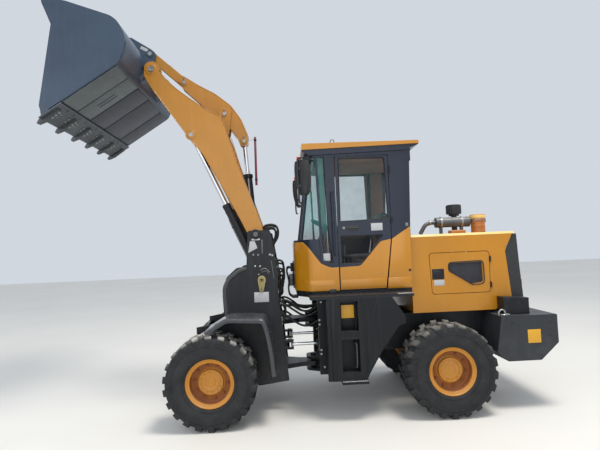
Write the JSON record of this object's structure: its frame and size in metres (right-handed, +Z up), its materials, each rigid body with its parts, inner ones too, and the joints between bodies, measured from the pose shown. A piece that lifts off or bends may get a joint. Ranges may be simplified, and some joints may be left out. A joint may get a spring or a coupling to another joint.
{
  "type": "articulated wheel loader",
  "caption": "Small articulated wheel loader with raised Z-bar arms, dumped toothed bucket, black cab, yellow hood and counterweight.",
  "frame": {"origin": "on the ground under the middle of the machine's overall length and width", "axes": "+X forward towards the bucket, +Y to the machine's left, +Z up; the machine stands parked straight with its arms raised and its bucket dumped"},
  "size_m": [5.2488, 1.96, 4.4207],
  "materials": {
    "paint_yellow": "glossy orange-yellow machine paint",
    "paint_black": "semi-gloss near-black frame paint",
    "bucket_grey": "dark blue-grey paint, matt",
    "edge_steel": "bare dark steel edge and teeth",
    "engine_grey": "cast engine and gear case",
    "axle_cast": "dark painted axle casting",
    "tyre": "black tread rubber with pale dust",
    "grille_black": "black grille",
    "muffler_steel": "heat-stained steel",
    "cleaner_orange": "orange air cleaner",
    "hose_rubber": "black hydraulic hose",
    "cap_black": "black plastic",
    "glass": "faintly green tinted glass",
    "seat": "black vinyl",
    "mirror": "black mirror housings",
    "lamp": "lamps",
    "pin_steel": "machined pins",
    "rod_chrome": "chromed piston rods"
  },
  "bodies": {
    "rear_chassis": {"rear_frame": "paint_black", "engine_block": "engine_grey", "transmission": "engine_grey", "counterweight": "paint_black", "rear_axle": "axle_cast", "engine_hood": "paint_yellow", "rear_grille": "grille_black", "muffler": "muffler_steel", "air_cleaner": "cleaner_orange", "pre_cleaner": "cap_black", "battery_boxes": "paint_black", "cab_platform": "paint_black", "cab_frame": "paint_black", "cab_roof": "paint_yellow", "cab_lower_panels": "paint_yellow", "cab_glass": "glass", "operator_seat": "seat", "steering_column": "cap_black", "side_tanks": "paint_black", "mirrors": "mirror", "work_lamps": "lamp", "door_hinges": "paint_black"},
    "cab_door_left": {"cab_door_left": "paint_black", "cab_door_skin_left": "paint_yellow", "cab_door_glass_left": "glass"},
    "cab_door_right": {"cab_door_right": "paint_black", "cab_door_skin_right": "paint_yellow", "cab_door_glass_right": "glass"},
    "engine_door_left": {"engine_door_left": "paint_yellow"},
    "engine_door_right": {"engine_door_right": "paint_yellow"},
    "wheel_front_left": {"tyre_front_left": "tyre", "rim_front_left": "paint_yellow"},
    "wheel_front_right": {"tyre_front_right": "tyre", "rim_front_right": "paint_yellow"},
    "wheel_rear_left": {"tyre_rear_left": "tyre", "rim_rear_left": "paint_yellow"},
    "wheel_rear_right": {"tyre_rear_right": "tyre", "rim_rear_right": "paint_yellow"},
    "front_chassis": {"front_frame": "paint_black", "front_axle": "axle_cast", "front_fenders": "paint_black", "front_hoses": "hose_rubber"},
    "boom": {"boom": "paint_yellow"},
    "bucket_pins": {"bucket_hinge_pins": "pin_steel"},
    "bucket": {"bucket": "bucket_grey", "cutting_edge": "edge_steel", "bucket_teeth": "edge_steel"},
    "rocker_pin": {"rocker_pivot_pin": "pin_steel"},
    "rocker": {"rocker": "paint_yellow"},
    "link_pin": {"bucket_upper_pin": "pin_steel"},
    "tie_link": {"tie_link": "paint_black"},
    "tilt_pin": {"tilt_base_pin": "pin_steel"},
    "tilt_barrel": {"tilt_cylinder_barrel": "paint_black"},
    "tilt_rod": {"tilt_cylinder_rod": "rod_chrome"},
    "lift_barrels": {"lift_cylinder_barrels": "paint_black"},
    "lift_rods": {"lift_cylinder_rods": "rod_chrome"},
    "steering_barrel_left": {"steering_barrel_left": "paint_black"},
    "steering_rod_left": {"steering_rod_left": "rod_chrome"},
    "steering_barrel_right": {"steering_barrel_right": "paint_black"},
    "steering_rod_right": {"steering_rod_right": "rod_chrome"}
  },
  "joints": [
    {"name": "articulation", "type": "hinge", "parent": "rear_chassis", "child": "front_chassis", "pos_m": [-0.09845, 0, 0.69], "axis": [0, 0, 1], "range_deg": [-35, 35]},
    {"name": "boom_lift", "type": "hinge", "parent": "front_chassis", "child": "boom", "pos_m": [0.50855, 0, 1.947], "axis": [0, -1, 0], "range_deg": [-112, 0]},
    {"name": "bucket_pins_turn", "type": "hinge", "parent": "boom", "child": "bucket_pins", "pos_m": [1.62655, 0, 3.872], "axis": [0, -1, 0], "range_deg": [0, 145.01]},
    {"name": "bucket_tilt", "type": "hinge", "parent": "bucket_pins", "child": "bucket", "pos_m": [1.62655, 0, 3.872], "axis": [0, -1, 0], "range_deg": [-1, 40]},
    {"name": "rocker_pin_turn", "type": "hinge", "parent": "boom", "child": "rocker_pin", "pos_m": [0.84955, 0, 3.426], "axis": [0, -1, 0], "range_deg": [-70.29, 0]},
    {"name": "rocker_turn", "type": "hinge", "parent": "rocker_pin", "child": "rocker", "pos_m": [0.84955, 0, 3.426], "axis": [0, -1, 0], "range_deg": [-20.5, 1.5]},
    {"name": "link_pin_turn", "type": "hinge", "parent": "bucket", "child": "link_pin", "pos_m": [1.72955, 0, 4.203], "axis": [0, -1, 0], "range_deg": [-92.46, 0]},
    {"name": "tie_link_turn", "type": "hinge", "parent": "link_pin", "child": "tie_link", "pos_m": [1.72955, 0, 4.203], "axis": [0, -1, 0], "range_deg": [-2.5, 2.5]},
    {"name": "tilt_pin_turn", "type": "hinge", "parent": "front_chassis", "child": "tilt_pin", "pos_m": [0.53455, 0, 1.628], "axis": [0, -1, 0], "range_deg": [-95.15, 0]},
    {"name": "tilt_barrel_turn", "type": "hinge", "parent": "tilt_pin", "child": "tilt_barrel", "pos_m": [0.53455, 0, 1.628], "axis": [0, -1, 0], "range_deg": [-0.5, 4.43]},
    {"name": "tilt_rod_slide", "type": "slide", "parent": "tilt_barrel", "child": "tilt_rod", "axis": [0.0648, 0, 0.9979], "range_m": [-0.02, 0.09993]},
    {"name": "lift_barrels_turn", "type": "hinge", "parent": "front_chassis", "child": "lift_barrels", "pos_m": [0.44155, 0, 1.42], "axis": [0, -1, 0], "range_deg": [-97.54, 0]},
    {"name": "lift_rods_slide", "type": "slide", "parent": "lift_barrels", "child": "lift_rods", "axis": [0.4091, 0, 0.9125], "range_m": [-0.81016, 0]},
    {"name": "steering_barrel_left_turn", "type": "hinge", "parent": "rear_chassis", "child": "steering_barrel_left", "pos_m": [-0.64845, 0.3, 0.7], "axis": [0, 0, 1], "range_deg": [-11.56, 11.56]},
    {"name": "steering_rod_left_slide", "type": "slide", "parent": "steering_barrel_left", "child": "steering_rod_left", "axis": [0.9993, 0.0366, 0], "range_m": [-0.19112, 0.19112]},
    {"name": "cab_door_left_swing", "type": "hinge", "parent": "rear_chassis", "child": "cab_door_left", "pos_m": [-0.97845, 0.634, 2], "axis": [0, 0, 1], "range_deg": [0, 95]},
    {"name": "engine_door_left_swing", "type": "hinge", "parent": "rear_chassis", "child": "engine_door_left", "pos_m": [-2.06045, 0.57, 1.43], "axis": [0, 0, 1], "range_deg": [0, 100]},
    {"name": "steering_barrel_right_turn", "type": "hinge", "parent": "rear_chassis", "child": "steering_barrel_right", "pos_m": [-0.64845, -0.3, 0.7], "axis": [0, 0, 1], "range_deg": [-11.56, 11.56]},
    {"name": "steering_rod_right_slide", "type": "slide", "parent": "steering_barrel_right", "child": "steering_rod_right", "axis": [0.9993, -0.0366, 0], "range_m": [-0.19112, 0.19112]},
    {"name": "cab_door_right_swing", "type": "hinge", "parent": "rear_chassis", "child": "cab_door_right", "pos_m": [-0.97845, -0.634, 2], "axis": [0, 0, -1], "range_deg": [0, 95]},
    {"name": "engine_door_right_swing", "type": "hinge", "parent": "rear_chassis", "child": "engine_door_right", "pos_m": [-2.06045, -0.57, 1.43], "axis": [0, 0, -1], "range_deg": [0, 100]},
    {"name": "wheel_front_left_roll", "type": "hinge", "parent": "front_chassis", "child": "wheel_front_left", "pos_m": [0.98255, 0.75, 0.47], "axis": [0, 1, 0], "continuous": true},
    {"name": "wheel_front_right_roll", "type": "hinge", "parent": "front_chassis", "child": "wheel_front_right", "pos_m": [0.98255, -0.75, 0.47], "axis": [0, 1, 0], "continuous": true},
    {"name": "wheel_rear_left_roll", "type": "hinge", "parent": "rear_chassis", "child": "wheel_rear_left", "pos_m": [-1.44845, 0.75, 0.47], "axis": [0, 1, 0], "continuous": true},
    {"name": "wheel_rear_right_roll", "type": "hinge", "parent": "rear_chassis", "child": "wheel_rear_right", "pos_m": [-1.44845, -0.75, 0.47], "axis": [0, 1, 0], "continuous": true}
  ],
  "couplings": [
    {"joint": "bucket_pins_turn", "follows": "boom_lift", "ratio": -1.2946},
    {"joint": "rocker_pin_turn", "follows": "boom_lift", "ratio": 0.62746},
    {"joint": "link_pin_turn", "follows": "boom_lift", "ratio": 0.82546},
    {"joint": "tilt_pin_turn", "follows": "boom_lift", "ratio": 0.84946},
    {"joint": "lift_barrels_turn", "follows": "boom_lift", "ratio": 0.8708},
    {"joint": "lift_rods_slide", "follows": "boom_lift", "m_per_rad": 0.4144},
    {"joint": "rocker_turn", "follows": "bucket_tilt", "ratio": -0.49992},
    {"joint": "tie_link_turn", "follows": "bucket_tilt", "ratio": 0.05011},
    {"joint": "tilt_barrel_turn", "follows": "bucket_tilt", "ratio": 0.09833},
    {"joint": "tilt_rod_slide", "follows": "bucket_tilt", "m_per_rad": 0.13168},
    {"joint": "steering_barrel_left_turn", "follows": "articulation", "ratio": 0.33},
    {"joint": "steering_barrel_right_turn", "follows": "articulation", "ratio": 0.33},
    {"joint": "steering_rod_left_slide", "follows": "articulation", "m_per_rad": -0.3127},
    {"joint": "steering_rod_right_slide", "follows": "articulation", "m_per_rad": 0.3127}
  ]
}
